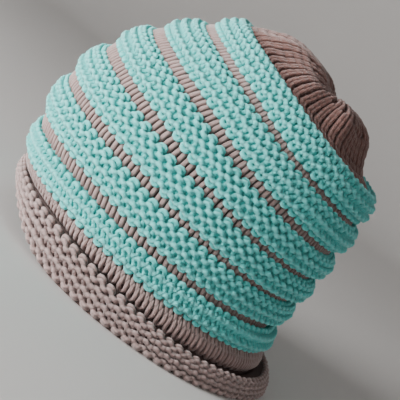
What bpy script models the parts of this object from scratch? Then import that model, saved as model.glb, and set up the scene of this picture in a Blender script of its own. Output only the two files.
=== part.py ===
"""Knitted cap: a flared brim, a lower band, six rolled welts with five sunken valleys, and a gathered crown.

The cap rests on its rim. +Z is up, the forehead side faces -Y and the wearer's left is +X.
"""
import math

import bmesh
import bpy
from mathutils import Vector

# Driving sizes, in metres
RIM_LENGTH = 0.198
RIM_WIDTH = 0.198
CAP_HEIGHT = 0.180
KNIT = 0.005
BRIM_BULGE_DEPTH = 0.005
BAND_PROUD_FRONT = 0.0025
BAND_PROUD_BACK = 0.0005
WELT_PROUD_FRONT = 0.005
WELT_PROUD_BACK = 0.007
VALLEY_FRONT = 0.005
VALLEY_BACK = 0.003
FOLD_DEPTH = 0.0016
SEAM_GAP = 0.0003

# Counts
FOLDS = 8
SIDES = 48

# Share of a roll's bulge that its inner face follows
INNER_FOLLOW = 0.6

# Sections from the rim up to the pole. height is a share of CAP_HEIGHT, centre (towards the rear) and
# half_length are shares of half of RIM_LENGTH, half_width is a share of half of RIM_WIDTH, and lean is
# the angle in degrees by which the section's rear end is lowered.
SECTIONS = (
    # name, height, centre, half_length, half_width, lean
    ("rim", 0.0, 0.0, 1.0, 1.0, 0.0),
    ("crease", 0.126, -0.12, 1.005, 0.88, 2.3),
    ("foot", 0.166, -0.165, 1.0, 0.845, 3.4),
    ("valley_1", 0.266, -0.21, 1.005, 0.85, 4.6),
    ("valley_2", 0.408, -0.21, 1.023, 0.89, 8.2),
    ("valley_3", 0.544, -0.155, 0.986, 0.88, 11.2),
    ("valley_4", 0.673, -0.065, 0.905, 0.808, 13.7),
    ("valley_5", 0.793, 0.064, 0.777, 0.687, 15.9),
    ("ledge", 0.887, 0.141, 0.65, 0.55, 17.0),
    ("rise", 0.917, 0.116, 0.576, 0.495, 17.0),
    ("shoulder", 0.947, 0.136, 0.502, 0.434, 17.0),
    ("round", 0.98, 0.172, 0.423, 0.369, 17.0),
    ("top", 1.0, 0.212, 0.328, 0.288, 17.0),
    ("gather", 1.006, 0.242, 0.182, 0.162, 17.0),
    ("pole", 0.981, 0.263, 0.0, 0.0, 17.0),
)
NAMES = [row[0] for row in SECTIONS]
RIM = NAMES.index("rim")
CREASE = NAMES.index("crease")
FOOT = NAMES.index("foot")
LEDGE = NAMES.index("ledge")
POLE = NAMES.index("pole")
WELTS = LEDGE - FOOT

# Where each kind of piece is sampled between its two edges, as shares of the way up
BRIM_OUTER = (0.0, 0.15, 0.38, 0.62, 0.82, 1.0)
BRIM_INNER = (0.0, 0.3, 0.65, 1.0)
BAND_OUTER = (0.0, 0.25, 0.7, 1.0)
WELT_OUTER = (0.0, 0.08, 0.27, 0.5, 0.73, 0.92, 1.0)
WELT_INNER = (0.0, 0.3, 0.7, 1.0)
EDGES_ONLY = (0.0, 1.0)
CROWN_OUTER = (0.0, 0.1, 0.2, 0.33, 0.5, 0.67, 0.83)
CROWN_INNER = (0.0, 0.25, 0.5, 0.75)

# A small step along the surface, for its slopes
STEP = 0.001

# name, red, green, blue, roughness
YARNS = {
    "turquoise_yarn": (0.20, 0.60, 0.55, 0.85),
    "grey_yarn": (0.38, 0.31, 0.30, 0.9),
}


def section_at(place):
    """Height, centre, half length, half width and lean at a place between sections, smoothly joined."""
    last = len(SECTIONS) - 1
    place = min(max(place, 0.0), float(last))
    low = min(int(place), last - 1)
    share = place - low
    values = []
    for column in range(1, 6):
        before = SECTIONS[max(low - 1, 0)][column]
        start = SECTIONS[low][column]
        end = SECTIONS[low + 1][column]
        after = SECTIONS[min(low + 2, last)][column]
        slope_start = (end - before) / 2
        slope_end = (after - start) / 2
        cube = 2 * start - 2 * end + slope_start + slope_end
        square = -3 * start + 3 * end - 2 * slope_start - slope_end
        values.append(start + slope_start * share + square * share ** 2 + cube * share ** 3)
    height, centre, half_length, half_width, lean = values
    return (
        height * CAP_HEIGHT,
        centre * RIM_LENGTH / 2,
        half_length * RIM_LENGTH / 2,
        half_width * RIM_WIDTH / 2,
        math.radians(lean),
    )


def surface(angle, place):
    """Point of the cap's face at valley level. The angle starts at the wearer's left and runs to the rear."""
    height, centre, half_length, half_width, lean = section_at(place)
    along = half_length * math.sin(angle)
    return Vector((half_width * math.cos(angle), centre + along * math.cos(lean), height - along * math.sin(lean)))


def slope_up(angle, place):
    """Change of the surface for one section's step upwards."""
    low = max(place - STEP, 0.0)
    high = min(place + STEP, float(POLE))
    return (surface(angle, high) - surface(angle, low)) / (high - low)


def outward(angle, place):
    """Unit normal of the surface, level at the rim so that the rim's underside stays flat."""
    around = surface(angle + STEP, place) - surface(angle - STEP, place)
    normal = around.cross(slope_up(angle, place)).normalized()
    level = Vector((math.cos(angle), math.sin(angle), 0.0))
    if place < CREASE:
        share = place - RIM
        normal = level.lerp(normal, share).normalized()
    return normal


def blend_back(angle, front, back):
    """A size that changes smoothly from the front to the rear of the cap."""
    return front + (back - front) * (1 + math.sin(angle)) / 2


def roll(share):
    """Cross-section of a roll of knitting: flat-topped, with steep sides."""
    return math.sqrt(max(0.0, 1 - abs(2 * share - 1) ** 3))


def shifted(angle, place, distance):
    """Place that lies a distance up the surface from another."""
    return place + distance / slope_up(angle, place).length


def valley_edge(angle, valley, side):
    """Edge of a valley: side is -1 for its lower edge and 1 for its upper edge."""
    width = blend_back(angle, VALLEY_FRONT, VALLEY_BACK)
    return shifted(angle, FOOT + valley, side * width / 2)


def two_triangles(bm, first, second, third, fourth):
    """Four-sided face split from its first corner to its third."""
    bm.faces.new((first, second, third))
    bm.faces.new((first, third, fourth))


def closed_rings(bm, loops):
    """Join loops of vertices, one for each angle, into one ring-shaped body.

    Both edge faces are split from the outer to the inner side in the same direction, so that the faces on
    the two sides of a seam stay parallel.
    """
    count = len(loops[0])
    for index, loop in enumerate(loops):
        following = loops[(index + 1) % len(loops)]
        for corner in range(count - 1):
            two_triangles(bm, loop[corner], following[corner], following[corner + 1], loop[corner + 1])
        two_triangles(bm, loop[0], loop[-1], following[-1], following[0])


def add_node(name, bm, material):
    """Turn a bmesh into an object with smooth faces and one material."""
    bmesh.ops.recalc_face_normals(bm, faces=bm.faces)
    mesh = bpy.data.meshes.new(name)
    bm.to_mesh(mesh)
    bm.free()
    mesh.shade_smooth()
    mesh.set_sharp_from_angle(angle=math.radians(50))
    mesh.materials.append(material)
    node = bpy.data.objects.new(name, mesh)
    bpy.context.collection.objects.link(node)
    return node


def ring_piece(name, low_edge, high_edge, outer, inner, proud, material):
    """Ring-shaped wall of knitting between two edges, each a function of the angle."""
    bm = bmesh.new()
    loops = []
    for index in range(SIDES):
        angle = 2 * math.pi * index / SIDES
        low_seam = low_edge(angle)
        high_seam = high_edge(angle)
        low = shifted(angle, low_seam, SEAM_GAP / 2) if low_seam > RIM else low_seam
        high = shifted(angle, high_seam, -SEAM_GAP / 2)
        bulge = proud(angle)
        heights = [(share, bulge * roll(share)) for share in outer]
        heights += [(share, bulge * roll(share) * INNER_FOLLOW - KNIT) for share in reversed(inner)]
        loop = []
        for share, height in heights:
            facing = outward(angle, low_seam + (high_seam - low_seam) * share)
            loop.append(bm.verts.new(surface(angle, low + (high - low) * share) + facing * height))
        loops.append(loop)
    closed_rings(bm, loops)
    return add_node(name, bm, material)


def fold_depth(angle, share):
    """Height of the crown's gathered folds: none at the ledge, most halfway up, little at the pole."""
    window = math.sin(math.pi * min(1.0, share * 1.1)) ** 2
    return FOLD_DEPTH * window * math.cos(FOLDS * angle)


def crown_point(angle, share, depth):
    """Point of the crown, depth metres under its face."""
    start = shifted(angle, LEDGE, SEAM_GAP / 2)
    facing = outward(angle, LEDGE + (POLE - LEDGE) * share)
    return surface(angle, start + (POLE - start) * share) + facing * (fold_depth(angle, share) - depth)


def pole_point(depth):
    """Middle of the crown, depth metres under its face."""
    lean = section_at(POLE)[-1]
    return surface(0.0, POLE) - Vector((0.0, math.sin(lean), math.cos(lean))) * depth


def make_crown(material):
    """Domed crown with folds that run to its sunken middle."""
    bm = bmesh.new()
    loops = []
    for index in range(SIDES):
        angle = 2 * math.pi * index / SIDES
        outer = [bm.verts.new(crown_point(angle, share, 0.0)) for share in CROWN_OUTER]
        inner = [bm.verts.new(crown_point(angle, share, KNIT)) for share in CROWN_INNER]
        loops.append((outer, inner))
    outer_pole = bm.verts.new(pole_point(0.0))
    inner_pole = bm.verts.new(pole_point(KNIT))
    for index, (outer, inner) in enumerate(loops):
        next_outer, next_inner = loops[(index + 1) % SIDES]
        for row in range(len(outer) - 1):
            bm.faces.new((outer[row], next_outer[row], next_outer[row + 1], outer[row + 1]))
        for row in range(len(inner) - 1):
            bm.faces.new((inner[row + 1], next_inner[row + 1], next_inner[row], inner[row]))
        bm.faces.new((outer[-1], next_outer[-1], outer_pole))
        bm.faces.new((next_inner[-1], inner[-1], inner_pole))
        two_triangles(bm, outer[0], inner[0], next_inner[0], next_outer[0])
    return add_node("crown", bm, material)


def make_brim(material):
    """Flared brim that stands on its flat lower edge."""
    return ring_piece(
        "brim",
        lambda angle: RIM,
        lambda angle: CREASE,
        BRIM_OUTER,
        BRIM_INNER,
        lambda angle: BRIM_BULGE_DEPTH,
        material,
    )


def make_lower_band(material):
    """Narrow band between the crease and the first welt."""
    return ring_piece(
        "lower_band",
        lambda angle: CREASE,
        lambda angle: FOOT,
        BAND_OUTER,
        EDGES_ONLY,
        lambda angle: blend_back(angle, BAND_PROUD_FRONT, BAND_PROUD_BACK),
        material,
    )


def make_welt(number, material):
    """One rolled welt, counted from the bottom, between the foot or a valley and a valley or the ledge."""

    def low_edge(angle):
        return FOOT if number == 1 else valley_edge(angle, number - 1, 1)

    def high_edge(angle):
        return LEDGE if number == WELTS else valley_edge(angle, number, -1)

    def proud(angle):
        return blend_back(angle, WELT_PROUD_FRONT, WELT_PROUD_BACK)

    return ring_piece(f"welt_{number}", low_edge, high_edge, WELT_OUTER, WELT_INNER, proud, material)


def make_valley(number, material):
    """Sunken strip between two welts."""
    return ring_piece(
        f"valley_{number}",
        lambda angle: valley_edge(angle, number, -1),
        lambda angle: valley_edge(angle, number, 1),
        EDGES_ONLY,
        EDGES_ONLY,
        lambda angle: 0.0,
        material,
    )


def yarn_material(name):
    """Plain yarn colour."""
    red, green, blue, roughness = YARNS[name]
    material = bpy.data.materials.new(name)
    material.use_nodes = True
    shader = material.node_tree.nodes["Principled BSDF"]
    shader.inputs["Base Color"].default_value = (red, green, blue, 1.0)
    shader.inputs["Roughness"].default_value = roughness
    shader.inputs["Metallic"].default_value = 0.0
    return material


def centre_over_origin(nodes):
    """Move the meshes so that the origin is under the middle of the cap's box."""
    points = [vertex.co for node in nodes for vertex in node.data.vertices]
    middle_x = (min(point.x for point in points) + max(point.x for point in points)) / 2
    middle_y = (min(point.y for point in points) + max(point.y for point in points)) / 2
    for point in points:
        point.x -= middle_x
        point.y -= middle_y


def main():
    for old in list(bpy.data.objects):
        bpy.data.objects.remove(old, do_unlink=True)
    turquoise = yarn_material("turquoise_yarn")
    grey = yarn_material("grey_yarn")
    nodes = [make_brim(grey), make_lower_band(grey)]
    nodes += [make_welt(number, turquoise) for number in range(1, WELTS + 1)]
    nodes += [make_valley(number, grey) for number in range(1, WELTS)]
    nodes.append(make_crown(grey))
    centre_over_origin(nodes)


main()
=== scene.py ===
"""Looks of the knitted cap: its loops of yarn, laid row by row round the cap, with floor, camera and light.

+Z is up, the forehead side faces -Y and the wearer's left is +X. Lengths are in metres.
"""

import math

import bpy
import numpy as np
from mathutils import Matrix, Vector


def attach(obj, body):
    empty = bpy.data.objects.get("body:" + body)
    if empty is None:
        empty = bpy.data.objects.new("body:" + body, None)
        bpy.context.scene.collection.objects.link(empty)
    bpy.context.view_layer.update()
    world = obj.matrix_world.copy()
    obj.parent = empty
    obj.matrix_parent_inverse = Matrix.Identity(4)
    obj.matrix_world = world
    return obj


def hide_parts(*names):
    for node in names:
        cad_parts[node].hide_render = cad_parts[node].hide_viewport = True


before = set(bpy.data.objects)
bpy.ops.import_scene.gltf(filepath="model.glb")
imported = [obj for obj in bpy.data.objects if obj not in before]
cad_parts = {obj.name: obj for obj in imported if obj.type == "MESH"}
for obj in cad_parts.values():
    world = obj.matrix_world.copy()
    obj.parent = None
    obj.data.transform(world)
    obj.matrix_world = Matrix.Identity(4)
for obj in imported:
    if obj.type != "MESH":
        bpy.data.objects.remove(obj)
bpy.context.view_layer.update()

# Sizes of the cap's face that the solids have too
RIM_LENGTH = 0.198
RIM_WIDTH = 0.198
CAP_HEIGHT = 0.180
BRIM_BULGE = 0.005
BAND_PROUD = (0.0025, 0.0005)
WELT_PROUD = (0.005, 0.007)
FOLD_DEPTH = 0.0016
FOLDS = 8
# The crown's folds run out at 1 divided by this, as a share of the way up to the pole
FOLDS_RUN_OUT = 1.1
# Roundness of a rolled band: 2 would make it half an oval, and more makes it fuller
ROLL_POWER = 3

# Forms that only the knitting has. Turns are degrees from the front, on both sides.
# Pinch across the crown, through its pole
SADDLE_DEPTH = 0.005
SADDLE_WIDTH = 0.009
# Shares of the way up the crown at which the pinch starts and over which it deepens
SADDLE_START = 0.3
SADDLE_RAMP = 0.4
# How far the rim is drawn up over the forehead, and the turns between which it comes down again
RIM_LIFT = 0.010
RIM_LIFT_TURNS = (30, 80)
# How far the crease sinks behind the sides, and the turns between which it does
CREASE_DROP = 0.007
CREASE_DROP_TURNS = (60, 135)
# How deep the band over the crease is drawn in, and up to which share of its height
CREASE_DEPTH = 0.0045
CREASE_REACH = 0.45
# The brim is full above its lip, which narrows towards the edge, and keeps part of its bulge at the crease
LIP_SHARE = 0.45
LIP_NARROWING = 0.3
BRIM_TOP_FULLNESS = 0.45
# Turns between which the sunken stripes change to their rear edges
VALLEY_TURNS = (75, 118)
# Edges of the sunken stripes, up the face from their middles
VALLEY_EDGES = {
    # node: lower and upper edge at the front and sides, lower and upper edge at the rear
    "valley_1": (-0.0018, 0.0062, -0.0028, 0.0036),
    "valley_2": (-0.0018, 0.0072, -0.0018, 0.0046),
    "valley_3": (-0.0020, 0.0074, -0.0034, 0.0034),
    "valley_4": (-0.0020, 0.0072, -0.0050, 0.0028),
    "valley_5": (-0.0018, 0.0062, -0.0034, 0.0024),
}

# Sections from the rim up to the pole: height is a share of CAP_HEIGHT, centre and half_length are shares
# of half of RIM_LENGTH, half_width is a share of half of RIM_WIDTH, and lean is in degrees
SECTIONS = (
    # name, height, centre, half_length, half_width, lean
    ("rim", 0.0, 0.0, 1.0, 1.0, 0.0),
    ("crease", 0.126, -0.12, 1.005, 0.88, 2.3),
    ("foot", 0.166, -0.165, 1.0, 0.845, 3.4),
    ("valley_1", 0.266, -0.21, 1.005, 0.85, 4.6),
    ("valley_2", 0.408, -0.21, 1.023, 0.89, 8.2),
    ("valley_3", 0.544, -0.155, 0.986, 0.88, 11.2),
    ("valley_4", 0.673, -0.065, 0.905, 0.808, 13.7),
    ("valley_5", 0.793, 0.064, 0.777, 0.687, 15.9),
    ("ledge", 0.887, 0.141, 0.65, 0.55, 17.0),
    ("rise", 0.917, 0.116, 0.576, 0.495, 17.0),
    ("shoulder", 0.947, 0.136, 0.502, 0.434, 17.0),
    ("round", 0.98, 0.172, 0.423, 0.369, 17.0),
    ("top", 1.0, 0.212, 0.328, 0.288, 17.0),
    ("gather", 1.006, 0.242, 0.182, 0.162, 17.0),
    ("pole", 0.981, 0.263, 0.0, 0.0, 17.0),
)
NAMES = [row[0] for row in SECTIONS]
TABLE = np.array([row[1:] for row in SECTIONS])
RIM = NAMES.index("rim")
CREASE = NAMES.index("crease")
FOOT = NAMES.index("foot")
LEDGE = NAMES.index("ledge")
POLE = NAMES.index("pole")
WELTS = LEDGE - FOOT
# Step, in sections or radians, over which slopes are taken
SMALL_STEP = 0.001

# The yarn and the shell behind it. LOOP_DEPTH is the unit of the loops' relief.
YARN_RADIUS = 0.00158
YARN_SIDES = 7
POINTS_PER_STITCH = 12
TWISTS_PER_STITCH = 2.0
# How far the yarn strays from its place, and how many times a metre the straying changes
UNEVENNESS = 0.0006
UNEVEN_SCALE = 110.0
LOOP_DEPTH = 0.0012
YARN_UNDER_FACE = 0.0024
# The same in a sunken stripe, at the front and at the rear
VALLEY_YARN_UNDER_FACE = (0.0012, 0.0030)
BACKING_UNDER_FACE = 0.0031
BACKING_THICKNESS = 0.0005
BACKING_COLUMNS = 96
# Shares of the way up a band at which the shell has its rings
BACKING_SHARES = (0.002, 0.03, 0.08, 0.16, 0.27, 0.4, 0.5, 0.6, 0.73, 0.84, 0.92, 0.97, 0.998)
CROWN_BACKING_SHARES = (0.001, 0.05, 0.1, 0.2, 0.33, 0.5, 0.67, 0.83, 0.93, 0.985)
# Where the shell of the band over the crease starts, below the crease
LOWER_BAND_START = -0.12
# How far the brim's shell turns inwards at the crease, and its thickness there as a share of the brim
LEDGE_REACH = 0.0074
LEDGE_THICKNESS = 0.04

# Guide sheets: columns round the cap, fine steps up it, how far past its band the fine sheet reaches, in
# spare rows, rings for each row of loops, and the share of the way up the crown at which its sheet ends
GUIDE_COLUMNS = 240
GUIDE_STEPS = 400
GUIDE_REACH = 2.4
RINGS_PER_ROW = 8
CROWN_GUIDE_END = 0.995

# The yarn's finish. Relief has plies, fibres and fuzz, and tone has relief, drift and crests. In the tone the
# crests carry a painted highlight, the loops' sides and legs painted shade, and the grooves between plies painted
# shade too.
PLIES = 3.0
PLY_ROUNDNESS = 0.6
RELIEF_SHARES = (0.5, 0.35, 0.45)
RELIEF_DEPTH = 0.0009
TONE_SHARES = (0.7, 0.3, 0.9)
TONE_RANGE = (0.45, 1.7)
PAINTED_HIGHLIGHT_POWER = 2.5
FIBRE_SCALE = 5.0
FUZZ_SCALE = 1900.0
DRIFT_SCALE = 55.0
GRAIN_SCALE = 900.0
GRAIN_DEPTH = 0.0006
SHADED_SHARE = 0.6

# Shapes of a loop, whose legs join its head to its foot:
# legs_back and feet_out, in LOOP_DEPTH: how far the legs lie behind the head and foot, or in front of them
# if below 0, and how far the foot stands out from the middle between the two
# swing and head_wide, in stitches: how far the yarn swings sideways, which rounds the head and the foot, and
# how far each leg stands out from under the head, which widens it
# head_rise and foot_rise: shares of the loop's half height up to its head and down to its foot
# thick and swell, in YARN_RADIUS: the yarn's radius, and how much thicker it gets at the head and foot
LOOPS = {
    # kind: legs_back, feet_out, swing, head_wide, head_rise, foot_rise, thick, swell
    "purl": (1.25, -0.15, 0.16, 0.0, 0.94, 0.94, 1.0, 0.3),
    "purl_foot": (1.2, -0.15, 0.14, 0.0, 0.94, 0.35, 1.0, 0.3),
    "purl_top": (1.2, 0.0, 0.14, 0.0, 0.4, 0.94, 1.0, 0.3),
    "knit": (-0.9, 0.0, 0.12, -0.02, 1.0, 1.0, 0.92, 0.0),
    "valley": (-0.6, 0.0, 0.08, 0.0, 1.0, 1.0, 1.03, 0.0),
    "crown": (-0.8, 0.0, 0.1, -0.075, 1.0, 1.0, 0.94, 0.0),
    "edge": (0.5, 0.0, 0.08, 0.0, 1.0, 1.0, 1.0, 0.1),
}

# How long the ends of a loop are in its depth: long where they stand out, short where the legs do
LONG_ENDS = 0.5
SHORT_ENDS = 1.5

# Rows of loops, counted up from the band's lower edge. rise is the loop's half height in rows, lean moves
# its head sideways, in stitches for each row, and crowding is how much closer the stitches stand at the rear,
# and wider at the front, than at the sides.
ROWS = (
    # node, yarn, rows in the band, first row, last row, stitches, kind, rise, lean, crowding
    ("brim", "grey_yarn", 4.6, 1.1, 3.0, 84, "purl", 0.63, 0.0, 0.15),
    ("brim", "grey_yarn", 4.6, 3.75, 3.75, 84, "purl_top", 0.6, 0.0, 0.15),
    ("brim", "grey_yarn", 4.6, 0.6, 0.6, 84, "edge", 0.22, 0.0, 0.15),
    ("lower_band", "grey_yarn", 2, 0.96, 1.6, 84, "knit", 0.62, 0.2, 0.1),
    ("welt_1", "turquoise_yarn", 3.8, 0.72, 0.72, 80, "purl_foot", 0.64, 0.0, 0.1),
    ("welt_1", "turquoise_yarn", 3.8, 1.75, 1.75, 80, "purl", 0.64, 0.0, 0.1),
    ("welt_1", "turquoise_yarn", 3.8, 2.85, 2.85, 80, "purl_top", 0.66, 0.0, 0.1),
    ("welt_2", "turquoise_yarn", 4.2, 0.72, 0.72, 80, "purl_foot", 0.64, 0.0, 0.08),
    ("welt_2", "turquoise_yarn", 4.2, 1.7, 2.65, 80, "purl", 0.64, 0.0, 0.08),
    ("welt_2", "turquoise_yarn", 4.2, 3.5, 3.5, 80, "purl_top", 0.64, 0.0, 0.08),
    ("welt_3", "turquoise_yarn", 4.1, 0.72, 0.72, 78, "purl_foot", 0.64, 0.0, 0.0),
    ("welt_3", "turquoise_yarn", 4.1, 1.7, 2.6, 78, "purl", 0.64, 0.0, 0.0),
    ("welt_3", "turquoise_yarn", 4.1, 3.4, 3.4, 78, "purl_top", 0.64, 0.0, 0.0),
    ("welt_4", "turquoise_yarn", 4.1, 0.72, 0.72, 78, "purl_foot", 0.64, 0.0, -0.05),
    ("welt_4", "turquoise_yarn", 4.1, 1.7, 2.6, 78, "purl", 0.64, 0.0, -0.05),
    ("welt_4", "turquoise_yarn", 4.1, 3.4, 3.4, 78, "purl_top", 0.64, 0.0, -0.05),
    ("welt_5", "turquoise_yarn", 4.4, 0.72, 0.72, 78, "purl_foot", 0.64, 0.0, -0.08),
    ("welt_5", "turquoise_yarn", 4.4, 1.72, 2.72, 78, "purl", 0.64, 0.0, -0.08),
    ("welt_5", "turquoise_yarn", 4.4, 3.65, 3.65, 78, "purl_top", 0.64, 0.0, -0.08),
    ("welt_6", "turquoise_yarn", 4.2, 0.72, 0.72, 70, "purl_foot", 0.64, 0.0, -0.12),
    ("welt_6", "turquoise_yarn", 4.2, 1.7, 2.65, 70, "purl", 0.64, 0.0, -0.12),
    ("welt_6", "turquoise_yarn", 4.2, 3.6, 3.6, 70, "purl_top", 0.64, 0.0, -0.12),
    ("valley_1", "grey_yarn", 1, 0.5, 0.5, 80, "valley", 0.8, -0.1, 0.08),
    ("valley_2", "grey_yarn", 1, 0.5, 0.5, 80, "valley", 0.76, -0.1, 0.05),
    ("valley_3", "grey_yarn", 1, 0.5, 0.5, 78, "valley", 0.76, -0.1, 0.0),
    ("valley_4", "grey_yarn", 1, 0.5, 0.5, 78, "valley", 0.76, -0.1, -0.05),
    ("valley_5", "grey_yarn", 1, 0.5, 0.5, 78, "valley", 0.76, -0.1, -0.08),
    ("crown", "grey_yarn", 12, 0.5, 5.5, 52, "crown", 0.78, 0.0, 0.0),
    ("crown", "grey_yarn", 12, 6.5, 8.5, 26, "crown", 0.78, 0.0, 0.0),
    ("crown", "grey_yarn", 12, 9.5, 10.5, 13, "crown", 0.78, 0.0, 0.0),
    ("crown", "grey_yarn", 12, 11.4, 11.4, 7, "crown", 0.6, 0.0, 0.0),
)
# Rows that a guide sheet runs on past both edges of its band
SPARE_ROWS = 1.6

# Finishes: the yarn's name, deep and bright colour and sheen, and the shell's name and colour. The yarn's painted
# shade and painted highlight run between its deep and its bright colour.
YARN_COLOURS = {
    "grey_yarn": ("grey yarn", (0.21, 0.143, 0.134), (0.42, 0.303, 0.29), 0.3),
    "turquoise_yarn": ("turquoise yarn", (0.085, 0.565, 0.54), (0.18, 0.72, 0.70), 0.2),
}
# The crown's grey yarn is the same yarn, painted darker and redder: painted shade and a painted warm reflection
CROWN_PAINTED_SHADE_COLOURS = ("grey yarn in painted shade and warm reflection", (0.125, 0.062, 0.053), (0.245, 0.126, 0.108), 0.3)
BACKING_COLOURS = {
    # The grey shell is darker than its yarn: painted shade in the gaps between the loops
    "grey_yarn": ("grey shell in painted shade", (0.14, 0.10, 0.095)),
    "turquoise_yarn": ("turquoise yarn behind", (0.08, 0.60, 0.57)),
}
FLOOR_COLOUR = (0.72, 0.71, 0.70, 1.0)

# Floor: a disc that curves up into a round wall
FLOOR_COLUMNS = 96
FLOOR_RADIUS = 1.5
CURVE_RADIUS = 0.9
WALL_HEIGHTS = (1.6, 2.4)

# Camera, placed and aimed from the middle of the rim, and rolled about its axis as in the photograph
CAMERA_AIM_HEIGHT = 0.070
CAMERA_PLACE = (0.5552, 0.1488, 0.159)
CAMERA_ROLL = 37.52
CAMERA_LENS = 81.5
CAMERA_SHIFT = (-0.0106, 0.022)

LIGHTS = (
    # name, place, size, power, colour
    ("front softbox", (0.98, -0.98, 0.30), 0.75, 52.0, (1.0, 0.98, 0.96)),
    ("side fill", (1.3, -0.1, 0.12), 0.9, 4.0, (1.0, 0.92, 0.88)),
)
STUDIO_COLOUR = (1.0, 0.97, 0.96, 1.0)
STUDIO_STRENGTH = 0.13

rim_places = [vertex.co.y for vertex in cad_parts["brim"].data.vertices if vertex.co.z < 0.0004]
RIM_CENTRE = (min(rim_places) + max(rim_places)) / 2


def section_at(place):
    """Height, centre, half length, half width and lean at places between the sections."""
    last = len(SECTIONS) - 1
    place = np.clip(place, 0.0, last)
    low = np.minimum(place.astype(int), last - 1)
    share = (place - low)[..., None]
    before = TABLE[np.maximum(low - 1, 0)]
    start = TABLE[low]
    end = TABLE[low + 1]
    after = TABLE[np.minimum(low + 2, last)]
    slope_start = (end - before) / 2
    slope_end = (after - start) / 2
    cube = 2 * start - 2 * end + slope_start + slope_end
    square = -3 * start + 3 * end - 2 * slope_start - slope_end
    values = start + slope_start * share + square * share ** 2 + cube * share ** 3
    return (
        values[..., 0] * CAP_HEIGHT,
        values[..., 1] * RIM_LENGTH / 2,
        values[..., 2] * RIM_LENGTH / 2,
        values[..., 3] * RIM_WIDTH / 2,
        np.radians(values[..., 4]),
    )


def surface(angle, place):
    """Points of the cap's face at valley level. The angle starts at the wearer's left and runs to the rear."""
    height, centre, half_length, half_width, lean = section_at(place)
    along = half_length * np.sin(angle)
    across = half_width * np.cos(angle)
    return np.stack((across, RIM_CENTRE + centre + along * np.cos(lean), height - along * np.sin(lean)), -1)


def unit(vectors):
    """The same directions at length one."""
    return vectors / np.maximum(np.linalg.norm(vectors, axis=-1, keepdims=True), 1e-12)


def eased(share):
    """A share from 0 to 1 that starts and stops gently."""
    share = np.clip(share, 0.0, 1.0)
    return share * share * (3 - 2 * share)


def slope_up(angle, place):
    """Change of the surface for one section's step upwards."""
    low = np.clip(place - SMALL_STEP, 0.0, POLE)
    high = np.clip(place + SMALL_STEP, 0.0, POLE)
    return (surface(angle, high) - surface(angle, low)) / np.maximum(high - low, 1e-6)[..., None]


def outward(angle, place):
    """Unit normals of the surface, level at the rim."""
    place = np.clip(place, 0.0, POLE - 0.01)
    around = surface(angle + SMALL_STEP, place) - surface(angle - SMALL_STEP, place)
    normal = unit(np.cross(around, slope_up(angle, place)))
    level = np.stack((np.cos(angle), np.sin(angle), np.zeros_like(angle)), -1)
    share = np.clip(place - RIM, 0.0, 1.0)[..., None]
    return unit(level * (1 - share) + normal * share)


def blend_back(angle, sizes):
    """A size that changes smoothly from the front to the rear of the cap."""
    return sizes[0] + (sizes[1] - sizes[0]) * (1 + np.sin(angle)) / 2


def shifted(angle, place, distance):
    """Places that lie a distance up the surface from others."""
    return place + distance / np.linalg.norm(slope_up(angle, place), axis=-1)


def from_front(angle, turns):
    """Share that grows smoothly from 0 to 1 between two turns from the front, in degrees, on both sides."""
    start, end = turns
    turn = np.degrees(np.arccos(np.clip(-np.sin(angle), -1.0, 1.0)))
    return eased((turn - start) / (end - start))


def valley_edge(number, angle, upper):
    """Places of a sunken stripe's lower or upper edge."""
    lengths = VALLEY_EDGES["valley_%d" % number]
    side = lengths[1 if upper else 0]
    rear = lengths[3 if upper else 2]
    distance = side + (rear - side) * from_front(angle, VALLEY_TURNS)
    return shifted(angle, np.full_like(angle, FOOT + number), distance)


def edges(node, angle):
    """Places of a band's lower and upper edge."""
    ones = np.ones_like(angle)
    crease = shifted(angle, ones * CREASE, -CREASE_DROP * from_front(angle, CREASE_DROP_TURNS))
    if node == "brim":
        return shifted(angle, ones * RIM, RIM_LIFT * (1 - from_front(angle, RIM_LIFT_TURNS))), crease
    if node == "lower_band":
        return crease, ones * FOOT
    if node == "crown":
        return ones * LEDGE, ones * POLE
    kind, number = node.split("_")
    number = int(number)
    if kind == "valley":
        return valley_edge(number, angle, False), valley_edge(number, angle, True)
    low = ones * FOOT if number == 1 else valley_edge(number - 1, angle, True)
    high = ones * LEDGE if number == WELTS else valley_edge(number, angle, False)
    return low, high


def bulge(node, angle, share):
    """How far a band's face stands off valley level, at shares of the way up the band."""
    inside = np.clip(share, 0.0, 1.0)
    if node == "crown":
        window = np.sin(math.pi * np.minimum(1.0, inside * FOLDS_RUN_OUT)) ** 2
        folds = FOLD_DEPTH * window * np.cos(FOLDS * angle)
        half_length = section_at(LEDGE + (POLE - LEDGE) * inside)[2]
        off_line = half_length * np.sin(angle)
        near_pole = eased((inside - SADDLE_START) / SADDLE_RAMP)
        pinch = SADDLE_DEPTH * np.exp(-((off_line / SADDLE_WIDTH) ** 2)) * near_pole
        return folds - pinch
    profile = np.sqrt(np.maximum(0.0, 1 - np.abs(2 * inside - 1) ** ROLL_POWER))
    if node == "brim":
        lip = 1 - LIP_NARROWING * (1 - np.minimum(inside, LIP_SHARE) / LIP_SHARE) ** 2
        above_lip = BRIM_TOP_FULLNESS + (1 - BRIM_TOP_FULLNESS) * profile
        return BRIM_BULGE * np.where(inside < LIP_SHARE, lip, above_lip)
    if node == "lower_band":
        drawn_in = np.clip(1 - inside / CREASE_REACH, 0.0, 1.0) ** 2
        return blend_back(angle, BAND_PROUD) * profile - CREASE_DEPTH * drawn_in
    if node.startswith("welt"):
        return blend_back(angle, WELT_PROUD) * profile
    return 0.0 * profile


def sheet(node, angle, share, under):
    """Points under a band's face, for angles and shares of the way up the band."""
    low, high = edges(node, angle)
    place = low + (high - low) * share
    return surface(angle, place) + outward(angle, place) * (bulge(node, angle, share) - under)[..., None]


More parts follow.
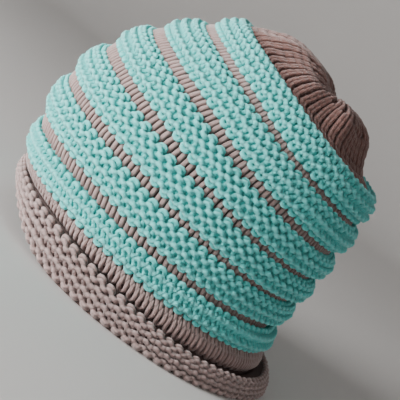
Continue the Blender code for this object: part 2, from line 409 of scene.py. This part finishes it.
def closed_ring(name, points):
    """Mesh of a grid of points, columns first, that closes on itself both ways."""
    columns, rows = points.shape[:2]
    faces = []
    for column in range(columns):
        after = (column + 1) % columns
        for row in range(rows):
            above = (row + 1) % rows
            faces.append((column * rows + row, after * rows + row, after * rows + above, column * rows + above))
    mesh = bpy.data.meshes.new(name)
    mesh.from_pydata(points.reshape(-1, 3).tolist(), [], faces)
    mesh.update()
    return mesh


def guide_object(node, rows, crowding):
    """Sheet on which a band's rows are laid: its map runs once round the cap and evenly up the knitting."""
    turn = np.linspace(0.0, 2 * math.pi, GUIDE_COLUMNS + 1)
    reach = GUIDE_REACH * SPARE_ROWS / rows
    start = 0.0 if node == "brim" else -reach
    end = CROWN_GUIDE_END if node == "crown" else 1 + reach
    angle, share = np.meshgrid(turn - math.pi / 2, np.linspace(start, end, GUIDE_STEPS), indexing="ij")
    under = np.full_like(angle, YARN_UNDER_FACE)
    if node.startswith("valley"):
        under = blend_back(angle, VALLEY_YARN_UNDER_FACE)
    fine = sheet(node, angle, share, under)
    steps = np.linalg.norm(np.diff(fine, axis=1), axis=-1)
    length = np.concatenate((np.zeros((GUIDE_COLUMNS + 1, 1)), np.cumsum(steps, axis=1)), axis=1)
    count = int((rows + 2 * SPARE_ROWS) * RINGS_PER_ROW) + 1
    wanted = np.linspace(-SPARE_ROWS, rows + SPARE_ROWS, count)
    points = np.zeros((GUIDE_COLUMNS + 1, count, 3))
    for column in range(GUIDE_COLUMNS + 1):
        low = np.interp(0.0, share[column], length[column])
        high = np.interp(1.0, share[column], length[column])
        targets = low + (high - low) * wanted / rows
        for axis in range(3):
            points[column, :, axis] = np.interp(targets, length[column], fine[column, :, axis])
    ring = points[:-1]
    around = np.roll(ring, -1, axis=0) - np.roll(ring, 1, axis=0)
    upward = np.gradient(ring, axis=1)
    facing = unit(np.cross(around, upward))
    # Past the ends of the fine sheet the rings fall together, and the face of the cap gives the way out
    together = np.linalg.norm(upward, axis=-1) < 1e-7
    facing[together] = outward(angle[:-1, :count], share[:-1, :count])[together]
    facing = np.concatenate((facing, facing[:1]), axis=0)
    faces = []
    for column in range(GUIDE_COLUMNS):
        for row in range(count - 1):
            start = column * count + row
            faces.append((start, start + count, start + count + 1, start + 1))
    mesh = bpy.data.meshes.new(node + "_guide")
    mesh.from_pydata(points.reshape(-1, 3).tolist(), [], faces)
    around_share = (turn - crowding * np.sin(turn)) / (2 * math.pi)
    up_share = np.linspace(0.0, 1.0, count)
    map_places = np.stack(np.meshgrid(around_share, up_share, indexing="ij"), -1).reshape(-1, 2)
    corners = np.zeros(len(mesh.loops), dtype=np.int32)
    mesh.loops.foreach_get("vertex_index", corners)
    layer = mesh.uv_layers.new(name="knit_map")
    layer.data.foreach_set("uv", map_places[corners].astype(np.float32).ravel())
    attribute = mesh.attributes.new("facing", "FLOAT_VECTOR", "POINT")
    attribute.data.foreach_set("vector", facing.astype(np.float32).ravel())
    guide = bpy.data.objects.new(node + "_guide", mesh)
    bpy.context.scene.collection.objects.link(guide)
    return guide


class Tree:
    """Adds nodes to a tree. A value given for a socket is either another node's output or a constant."""

    def __init__(self, tree):
        self.tree = tree

    def put(self, socket, value):
        """Link or set one socket."""
        if isinstance(value, bpy.types.NodeSocket):
            self.tree.links.new(value, socket)
        else:
            socket.default_value = value

    def node(self, kind, settings=None, **inputs):
        """Any node, with its settings and with inputs by name."""
        made = self.tree.nodes.new(kind)
        for name, value in (settings or {}).items():
            setattr(made, name, value)
        for name, value in inputs.items():
            self.put(made.inputs[name], value)
        return made

    def math(self, operation, first, second=None):
        """Result of arithmetic on one or two numbers."""
        made = self.tree.nodes.new("ShaderNodeMath")
        made.operation = operation
        self.put(made.inputs[0], first)
        if second is not None:
            self.put(made.inputs[1], second)
        return made.outputs[0]

    def vector_math(self, operation, first, second=None, scale=None):
        """Result of arithmetic on vectors."""
        made = self.tree.nodes.new("ShaderNodeVectorMath")
        made.operation = operation
        self.put(made.inputs[0], first)
        if second is not None:
            self.put(made.inputs[1], second)
        if scale is not None:
            self.put(made.inputs["Scale"], scale)
        return made.outputs["Value"] if operation in ("DOT_PRODUCT", "LENGTH") else made.outputs["Vector"]

    def noise(self, place, scale, detail):
        """Noise in space."""
        settings = {"noise_dimensions": "3D"}
        return self.node("ShaderNodeTexNoise", settings, Vector=place, Scale=scale, Detail=detail)

    def attribute(self, name, kind="FLOAT_VECTOR"):
        """Stored values of the mesh or curve."""
        made = self.node("GeometryNodeInputNamedAttribute", {"data_type": kind}, Name=name)
        return made.outputs["Attribute"]

    def store(self, geometry, name, value, kind="FLOAT_VECTOR"):
        """Geometry whose points carry one more value."""
        settings = {"data_type": kind, "domain": "POINT"}
        made = self.node("GeometryNodeStoreNamedAttribute", settings, Geometry=geometry, Name=name, Value=value)
        return made.outputs[0]

    def combine(self, x, y, z):
        """Vector from its three parts."""
        made = self.tree.nodes.new("ShaderNodeCombineXYZ")
        for index, value in enumerate((x, y, z)):
            self.put(made.inputs[index], value)
        return made.outputs[0]


KNIT_INPUTS = (
    # name, kind, default
    ("Rows", "Int", 1),
    ("Stitches", "Int", 80),
    ("Points per stitch", "Int", POINTS_PER_STITCH),
    ("First row", "Float", 0.5),
    ("Row step", "Float", 1.0),
    ("Rows on guide", "Float", 4.0),
    ("Rows below band", "Float", SPARE_ROWS),
    ("Rise", "Float", 0.74),
    ("Swing", "Float", 0.2),
    ("Lean", "Float", 0.0),
    ("Legs back", "Float", LOOP_DEPTH),
    ("Feet out", "Float", 0.0),
    ("Head wide", "Float", 0.0),
    ("Head rise", "Float", 1.0),
    ("Foot rise", "Float", 1.0),
    ("Swell", "Float", 0.0),
    ("Sharpness", "Float", 1.0),
    ("Unevenness", "Float", UNEVENNESS),
    ("Twists per stitch", "Float", TWISTS_PER_STITCH),
    ("Yarn radius", "Float", YARN_RADIUS),
    ("Yarn sides", "Int", YARN_SIDES),
    ("Yarn", "Material", None),
)


def knit_tree():
    """Geometry nodes that lay rows of linked loops over a mapped guide sheet."""
    tree = bpy.data.node_groups.new("Rows of loops", "GeometryNodeTree")
    tree.interface.new_socket(name="Guide", in_out="INPUT", socket_type="NodeSocketGeometry")
    for name, kind, default in KNIT_INPUTS:
        socket = tree.interface.new_socket(name=name, in_out="INPUT", socket_type="NodeSocket" + kind)
        if default is not None:
            socket.default_value = default
    tree.interface.new_socket(name="Knitting", in_out="OUTPUT", socket_type="NodeSocketGeometry")
    t = Tree(tree)
    given = tree.nodes.new("NodeGroupInput").outputs

    # A point's row, and its place along the row in stitches
    per_row = t.math("MULTIPLY", given["Stitches"], given["Points per stitch"])
    points = t.node("GeometryNodePoints", Count=t.math("MULTIPLY", per_row, given["Rows"]))
    index = t.node("GeometryNodeInputIndex").outputs[0]
    row = t.math("FLOOR", t.math("DIVIDE", t.math("ADD", index, 0.5), per_row))
    along = t.math("SUBTRACT", index, t.math("MULTIPLY", row, per_row))
    stitch = t.math("DIVIDE", along, given["Points per stitch"])
    foot_to_foot = t.math("MULTIPLY", stitch, 2 * math.pi)
    foot_to_head = t.math("MULTIPLY", stitch, 4 * math.pi)

    # The loop seen from outside: up from its foot to its head, and sideways between them
    level = t.math("MULTIPLY", t.math("COSINE", foot_to_foot), -1.0)
    upper = t.math("MULTIPLY", t.math("MAXIMUM", level, 0.0), given["Head rise"])
    lower = t.math("MULTIPLY", t.math("MINIMUM", level, 0.0), given["Foot rise"])
    up = t.math("MULTIPLY", t.math("ADD", upper, lower), given["Rise"])
    sideways = t.math("MULTIPLY", t.math("SINE", foot_to_head), given["Swing"])
    widening = t.math("MULTIPLY", t.math("SINE", foot_to_foot), given["Head wide"])
    sideways = t.math("SUBTRACT", sideways, widening)
    sideways = t.math("ADD", t.math("ADD", stitch, sideways), t.math("MULTIPLY", up, given["Lean"]))
    around = t.math("DIVIDE", t.math("ADD", sideways, given["Stitches"]), given["Stitches"])
    middle = t.math("ADD", given["First row"], t.math("MULTIPLY", row, given["Row step"]))
    height = t.math("ADD", t.math("ADD", middle, up), given["Rows below band"])
    place = t.combine(t.math("FRACT", around), t.math("DIVIDE", height, given["Rows on guide"]), 0.0)

    # The loop's depth: 1 at head and foot and -1 on the legs, with short or long ends
    at_ends = t.math("MULTIPLY", t.math("ADD", t.math("COSINE", foot_to_head), 1.0), 0.5)
    at_ends = t.math("POWER", t.math("MAXIMUM", at_ends, 0.0), given["Sharpness"])
    at_ends = t.math("SUBTRACT", t.math("MULTIPLY", at_ends, 2.0), 1.0)
    feet = t.math("MULTIPLY", t.math("COSINE", foot_to_foot), given["Feet out"])
    depth = t.math("ADD", t.math("MULTIPLY", at_ends, given["Legs back"]), feet)

    # The guide's place and way out there, and a little straying
    sampled = []
    for field in (t.node("GeometryNodeInputPosition").outputs[0], t.attribute("facing")):
        sample = t.node("GeometryNodeSampleUVSurface", {"data_type": "FLOAT_VECTOR"}, Mesh=given["Guide"])
        t.put(sample.inputs["Value"], field)
        t.put(sample.inputs["Source UV Map"], t.attribute("knit_map"))
        t.put(sample.inputs["Sample UV"], place)
        sampled.append(sample.outputs["Value"])
    on_guide, facing = sampled
    facing = t.vector_math("NORMALIZE", facing)
    noise = t.noise(on_guide, UNEVEN_SCALE, 1.0)
    straying = t.vector_math("SUBTRACT", noise.outputs["Color"], (0.5, 0.5, 0.5))
    straying = t.vector_math("SCALE", straying, scale=t.math("MULTIPLY", given["Unevenness"], 2.0))
    target = t.vector_math("ADD", on_guide, t.vector_math("SCALE", facing, scale=depth))
    target = t.vector_math("ADD", target, straying)
    placed = t.node("GeometryNodeSetPosition", Geometry=points.outputs[0], Position=target)

    # What the yarn's finish reads
    twist = t.math("MULTIPLY", t.math("MULTIPLY", stitch, given["Twists per stitch"]), 2 * math.pi)
    ply = t.combine(t.math("COSINE", twist), t.math("SINE", twist), stitch)
    swollen = t.math("ADD", t.math("MULTIPLY", at_ends, given["Swell"]), 1.0)
    outermost = t.math("ADD", t.math("MULTIPLY", at_ends, t.math("SIGN", given["Legs back"])), 1.0)
    stored = t.store(placed.outputs[0], "facing", facing)
    stored = t.store(stored, "twist", ply)
    stored = t.store(stored, "thickness", swollen, "FLOAT")
    # The loop's outermost parts, where the yarn's finish paints its highlight
    stored = t.store(stored, "standing_out", t.math("MULTIPLY", outermost, 0.5), "FLOAT")

    # One closed yarn for each row, with its profile squared to the knitting
    curves = t.node("GeometryNodePointsToCurves", Points=stored, Weight=along)
    t.put(curves.inputs["Curve Group ID"], row)
    closed = t.node("GeometryNodeSetSplineCyclic", Geometry=curves.outputs[0], Cyclic=True)
    tangent = t.node("GeometryNodeInputTangent").outputs[0]
    lying = t.vector_math("SCALE", tangent, scale=t.vector_math("DOT_PRODUCT", t.attribute("facing"), tangent))
    square = t.vector_math("NORMALIZE", t.vector_math("SUBTRACT", t.attribute("facing"), lying))
    turned = t.node("GeometryNodeSetCurveNormal", {"mode": "FREE"}, Curve=closed.outputs[0], Normal=square)
    thickness = t.attribute("thickness", "FLOAT")
    sized = t.node("GeometryNodeSetCurveRadius", Curve=turned.outputs[0], Radius=thickness)
    circle = t.node("GeometryNodeCurvePrimitiveCircle", {"mode": "RADIUS"}, Resolution=given["Yarn sides"])
    t.put(circle.inputs["Radius"], given["Yarn radius"])
    corner = t.math("MULTIPLY", t.node("GeometryNodeInputIndex").outputs[0], 2 * math.pi)
    corner = t.math("DIVIDE", corner, given["Yarn sides"])
    profile = t.store(circle.outputs[0], "round", t.combine(t.math("COSINE", corner), t.math("SINE", corner), 0.0))
    tube = t.node("GeometryNodeCurveToMesh", Curve=sized.outputs[0])
    t.put(tube.inputs["Profile Curve"], profile)
    smooth = t.node("GeometryNodeSetShadeSmooth", Geometry=tube.outputs[0])
    real = t.node("GeometryNodeRealizeInstances", Geometry=smooth.outputs[0])
    painted = t.node("GeometryNodeSetMaterial", Geometry=real.outputs[0], Material=given["Yarn"])
    end = tree.nodes.new("NodeGroupOutput")
    tree.links.new(painted.outputs[0], end.inputs[0])
    return tree


def laid_rows(tree, guide, settings):
    """Plain mesh of the rows of loops that the tree makes on a guide sheet."""
    modifier = guide.modifiers.new("Rows of loops", "NODES")
    modifier.node_group = tree
    for item in tree.interface.items_tree:
        if item.in_out == "INPUT" and item.name in settings:
            modifier[item.identifier] = settings[item.name]
    bpy.context.view_layer.update()
    evaluated = guide.evaluated_get(bpy.context.evaluated_depsgraph_get())
    mesh = bpy.data.meshes.new_from_object(evaluated)
    guide.modifiers.remove(modifier)
    return mesh


def new_material(name):
    """Material with its tree's helper and its shader."""
    material = bpy.data.materials.new(name)
    material.use_nodes = True
    return material, Tree(material.node_tree), material.node_tree.nodes["Principled BSDF"]


def mixed_colour(t, share, first, second):
    """Colour between two others."""
    mix = t.node("ShaderNodeMix", {"data_type": "RGBA"}, Factor=share)
    ends = [socket for socket in mix.inputs if socket.type == "RGBA"]
    ends[0].default_value = (*first, 1.0)
    ends[1].default_value = (*second, 1.0)
    return [socket for socket in mix.outputs if socket.type == "RGBA"][0]


def yarn_material(name, deep, bright, sheen):
    """Twisted soft yarn: three plies, fine fibres along them, a painted highlight on the crests, painted shade on
    the loops' sides and legs and in the ply grooves, and a slow drift of colour.
    """
    material, t, shader = new_material(name)
    shader.inputs["Roughness"].default_value = 0.85
    shader.inputs["Subsurface Weight"].default_value = 0.8
    shader.inputs["Subsurface Radius"].default_value = (1.0, 1.0, 1.0)
    shader.inputs["Subsurface Scale"].default_value = 0.0024
    shader.inputs["Sheen Weight"].default_value = sheen
    shader.inputs["Sheen Roughness"].default_value = 0.5
    shader.inputs["Specular IOR Level"].default_value = 0.25

    rounding = t.node("ShaderNodeAttribute", {"attribute_name": "round"}).outputs["Vector"]
    twisting = t.node("ShaderNodeAttribute", {"attribute_name": "twist"}).outputs["Vector"]
    round_parts = t.node("ShaderNodeSeparateXYZ", Vector=rounding).outputs
    twist_parts = t.node("ShaderNodeSeparateXYZ", Vector=twisting).outputs
    side = t.math("ARCTAN2", round_parts[1], round_parts[0])
    turn = t.math("ARCTAN2", twist_parts[1], twist_parts[0])
    phase = t.math("MULTIPLY", t.math("ADD", t.math("MULTIPLY", side, PLIES), turn), 0.5)
    plies = t.math("POWER", t.math("ABSOLUTE", t.math("COSINE", phase)), PLY_ROUNDNESS)
    spun = t.math("ADD", side, t.math("DIVIDE", turn, PLIES))
    fibre_place = t.combine(t.math("COSINE", spun), t.math("SINE", spun), t.math("MULTIPLY", twist_parts[2], 2.0))
    fibres = t.noise(fibre_place, FIBRE_SCALE, 4.0)
    fibres.inputs["Roughness"].default_value = 0.7
    coordinates = t.node("ShaderNodeTexCoord").outputs["Object"]
    fuzz = t.noise(coordinates, FUZZ_SCALE, 3.0)
    drift = t.noise(coordinates, DRIFT_SCALE, 2.0)
    of_plies, of_fibres, of_fuzz = RELIEF_SHARES
    relief = t.math("ADD", t.math("MULTIPLY", plies, of_plies), t.math("MULTIPLY", fibres.outputs[0], of_fibres))
    relief = t.math("ADD", relief, t.math("MULTIPLY", fuzz.outputs[0], of_fuzz))
    bump = t.node("ShaderNodeBump", Height=relief, Strength=1.0, Distance=RELIEF_DEPTH)
    t.put(shader.inputs["Normal"], bump.outputs[0])

    # Painted highlight where the yarn's outer side meets the loop's outermost part; the rest of the loop keeps the
    # deeper colour as painted shade
    standing_out = t.node("ShaderNodeAttribute", {"attribute_name": "standing_out"}).outputs["Fac"]
    facing = t.node("ShaderNodeAttribute", {"attribute_name": "facing"}).outputs["Vector"]
    normal = t.node("ShaderNodeNewGeometry").outputs["Normal"]
    upper_side = t.math("MAXIMUM", t.vector_math("DOT_PRODUCT", facing, normal), 0.0)
    painted_crest_highlight = t.math("MULTIPLY", t.math("POWER", upper_side, PAINTED_HIGHLIGHT_POWER), t.math("POWER", standing_out, PAINTED_HIGHLIGHT_POWER))
    of_relief, of_drift, of_painted_highlight = TONE_SHARES
    tone = t.math("ADD", t.math("MULTIPLY", relief, of_relief), t.math("MULTIPLY", drift.outputs[0], of_drift))
    tone = t.math("ADD", tone, t.math("MULTIPLY", painted_crest_highlight, of_painted_highlight))
    ramp = t.node("ShaderNodeMapRange", Value=tone)
    ramp.inputs["From Min"].default_value, ramp.inputs["From Max"].default_value = TONE_RANGE
    t.put(shader.inputs["Base Color"], mixed_colour(t, ramp.outputs["Result"], deep, bright))
    return material


def backing_material(name, colour):
    """Shaded yarn seen through the loops, with the grain of the rows behind."""
    material, t, shader = new_material(name)
    shader.inputs["Roughness"].default_value = 0.95
    shader.inputs["Specular IOR Level"].default_value = 0.1
    coordinates = t.node("ShaderNodeTexCoord").outputs["Object"]
    grain = t.noise(coordinates, GRAIN_SCALE, 4.0)
    bump = t.node("ShaderNodeBump", Height=grain.outputs[0], Strength=0.8, Distance=GRAIN_DEPTH)
    t.put(shader.inputs["Normal"], bump.outputs[0])
    shaded = [SHADED_SHARE * part for part in colour]
    t.put(shader.inputs["Base Color"], mixed_colour(t, grain.outputs[0], shaded, colour))
    return material


def closed_dome(name, outer, inner):
    """Mesh of a dome's two faces, columns first, that closes at its foot and at both tops."""
    columns, rows = outer.shape[:2]
    outer_top = outer[:, -1].mean(axis=0)
    inner_top = inner[:, -1].mean(axis=0)
    points = np.concatenate((outer.reshape(-1, 3), inner.reshape(-1, 3), [outer_top, inner_top]))
    base = columns * rows
    faces = []
    for column in range(columns):
        here = column * rows
        after = (column + 1) % columns * rows
        for row in range(rows - 1):
            faces.append((here + row, after + row, after + row + 1, here + row + 1))
            faces.append((base + here + row, base + here + row + 1, base + after + row + 1, base + after + row))
        faces.append((here + rows - 1, after + rows - 1, 2 * base))
        faces.append((base + after + rows - 1, base + here + rows - 1, 2 * base + 1))
        faces.append((here, base + here, base + after, after))
    mesh = bpy.data.meshes.new(name)
    mesh.from_pydata(points.tolist(), [], faces)
    mesh.update()
    return mesh


def backing_mesh(node, material):
    """Thin closed shell behind a band's loops."""
    share = list(CROWN_BACKING_SHARES if node == "crown" else BACKING_SHARES)
    if node == "lower_band":
        share[0] = LOWER_BAND_START
    under = [BACKING_UNDER_FACE] * len(share)
    drawn_down = [0.0] * len(share)
    if node == "brim":
        # The brim's shell turns inwards at its top, as far as the drawn-in band above it
        share += [share[-1]] * 2
        under += [BACKING_UNDER_FACE + 0.5 * LEDGE_REACH, BACKING_UNDER_FACE + LEDGE_REACH]
        drawn_down = drawn_down[:-1] + [LEDGE_THICKNESS] * 3
    columns = np.linspace(0.0, 2 * math.pi, BACKING_COLUMNS, endpoint=False)
    angle, share = np.meshgrid(columns, share, indexing="ij")
    under = np.tile(under, (BACKING_COLUMNS, 1))
    outer = sheet(node, angle, share, under)
    inner = sheet(node, angle, share - np.array(drawn_down), under + BACKING_THICKNESS)
    if node == "crown":
        mesh = closed_dome(node + "_backing", outer, inner)
    else:
        mesh = closed_ring(node + "_backing", np.concatenate((outer, inner[:, ::-1]), axis=1))
    mesh.materials.append(material)
    mesh.shade_smooth()
    return mesh


def joined(name, meshes):
    """One object from several meshes."""
    objects = []
    for mesh in meshes:
        piece = bpy.data.objects.new(name, mesh)
        bpy.context.scene.collection.objects.link(piece)
        objects.append(piece)
    first = objects[0]
    with bpy.context.temp_override(active_object=first, selected_editable_objects=objects, object=first):
        bpy.ops.object.join()
    first.name = name
    return first


yarns = {slot: yarn_material(*colours) for slot, colours in YARN_COLOURS.items()}
# The crown's yarn carries painted shade and a painted warm reflection
crown_yarn_in_painted_shade = yarn_material(*CROWN_PAINTED_SHADE_COLOURS)
backings = {slot: backing_material(*colours) for slot, colours in BACKING_COLOURS.items()}

tree = knit_tree()
made = {}
for node, yarn, rows, first, last, stitches, kind, rise, lean, crowding in ROWS:
    legs_back, feet_out, swing, head_wide, head_rise, foot_rise, thick, swell = LOOPS[kind]
    guide = guide_object(node, rows, crowding)
    count = round(last - first) + 1
    settings = {
        "Rows": count,
        "Stitches": stitches,
        "Points per stitch": POINTS_PER_STITCH,
        "First row": first,
        "Row step": (last - first) / max(count - 1, 1),
        "Rows on guide": rows + 2 * SPARE_ROWS,
        "Rows below band": SPARE_ROWS,
        "Rise": rise,
        "Swing": swing,
        "Lean": lean,
        "Legs back": LOOP_DEPTH * legs_back,
        "Feet out": LOOP_DEPTH * feet_out,
        "Head wide": head_wide,
        "Head rise": head_rise,
        "Foot rise": foot_rise,
        "Swell": swell,
        "Sharpness": LONG_ENDS if legs_back > 0 else SHORT_ENDS,
        "Unevenness": UNEVENNESS,
        "Twists per stitch": TWISTS_PER_STITCH,
        "Yarn radius": YARN_RADIUS * thick,
        "Yarn sides": YARN_SIDES,
        "Yarn": crown_yarn_in_painted_shade if node == "crown" else yarns[yarn],
    }
    made.setdefault(node, [yarn, []])[1].append(laid_rows(tree, guide, settings))
    guide_mesh = guide.data
    bpy.data.objects.remove(guide, do_unlink=True)
    bpy.data.meshes.remove(guide_mesh)

for node, (yarn, meshes) in made.items():
    piece = joined("knit_" + node, meshes + [backing_mesh(node, backings[yarn])])
    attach(piece, "root")
    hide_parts(node)


def floor_object():
    """Pale floor that curves up into a wall all round."""
    slopes = np.linspace(0.12, math.pi / 2, 14)
    profile = [(0.4, 0.0), (0.9, 0.0), (FLOOR_RADIUS, 0.0)]
    profile += [(FLOOR_RADIUS + CURVE_RADIUS * math.sin(a), CURVE_RADIUS * (1 - math.cos(a))) for a in slopes]
    profile += [(FLOOR_RADIUS + CURVE_RADIUS, height) for height in WALL_HEIGHTS]
    turns = np.linspace(0.0, 2 * math.pi, FLOOR_COLUMNS, endpoint=False)
    points = [(r * math.cos(a), r * math.sin(a), z) for a in turns for r, z in profile]
    points.append((0.0, 0.0, 0.0))
    rings = len(profile)
    faces = []
    for column in range(FLOOR_COLUMNS):
        here = column * rings
        after = (column + 1) % FLOOR_COLUMNS * rings
        for ring in range(rings - 1):
            faces.append((here + ring + 1, after + ring + 1, after + ring, here + ring))
        faces.append((here, after, len(points) - 1))
    mesh = bpy.data.meshes.new("floor")
    mesh.from_pydata(points, [], faces)
    mesh.shade_smooth()
    material, _, shader = new_material("pale floor")
    shader.inputs["Base Color"].default_value = FLOOR_COLOUR
    shader.inputs["Roughness"].default_value = 0.9
    mesh.materials.append(material)
    floor = bpy.data.objects.new("floor", mesh)
    bpy.context.scene.collection.objects.link(floor)
    return floor


floor_object()

rim_middle = Vector((0.0, RIM_CENTRE, 0.0))
aim = rim_middle + Vector((0.0, 0.0, CAMERA_AIM_HEIGHT))
camera_place = rim_middle + Vector(CAMERA_PLACE)
camera_data = bpy.data.cameras.new("camera")
camera_data.sensor_width = 36.0
camera_data.lens = CAMERA_LENS
camera_data.shift_x, camera_data.shift_y = CAMERA_SHIFT
camera_data.clip_start = 0.02
camera_data.clip_end = 20.0
camera = bpy.data.objects.new("camera", camera_data)
bpy.context.scene.collection.objects.link(camera)
back = (camera_place - aim).normalized()
right = Vector((0.0, 0.0, 1.0)).cross(back).normalized()
above = back.cross(right)
roll = math.radians(CAMERA_ROLL)
picture_right = right * math.cos(roll) + above * math.sin(roll)
picture_up = above * math.cos(roll) - right * math.sin(roll)
camera.matrix_world = Matrix(
    (
        (picture_right.x, picture_up.x, back.x, camera_place.x),
        (picture_right.y, picture_up.y, back.y, camera_place.y),
        (picture_right.z, picture_up.z, back.z, camera_place.z),
        (0.0, 0.0, 0.0, 1.0),
    )
)
bpy.context.scene.camera = camera

# Square soft boxes that face the cap
for name, place, size, power, colour in LIGHTS:
    light_data = bpy.data.lights.new(name, "AREA")
    light_data.shape = "SQUARE"
    light_data.size = size
    light_data.energy = power
    light_data.color = colour
    light = bpy.data.objects.new(name, light_data)
    bpy.context.scene.collection.objects.link(light)
    light.location = place
    light.rotation_euler = (Vector(place) - aim).to_track_quat("Z", "Y").to_euler()

world = bpy.data.worlds.new("studio")
world.use_nodes = True
world.node_tree.nodes["Background"].inputs["Color"].default_value = STUDIO_COLOUR
world.node_tree.nodes["Background"].inputs["Strength"].default_value = STUDIO_STRENGTH
bpy.context.scene.world = world
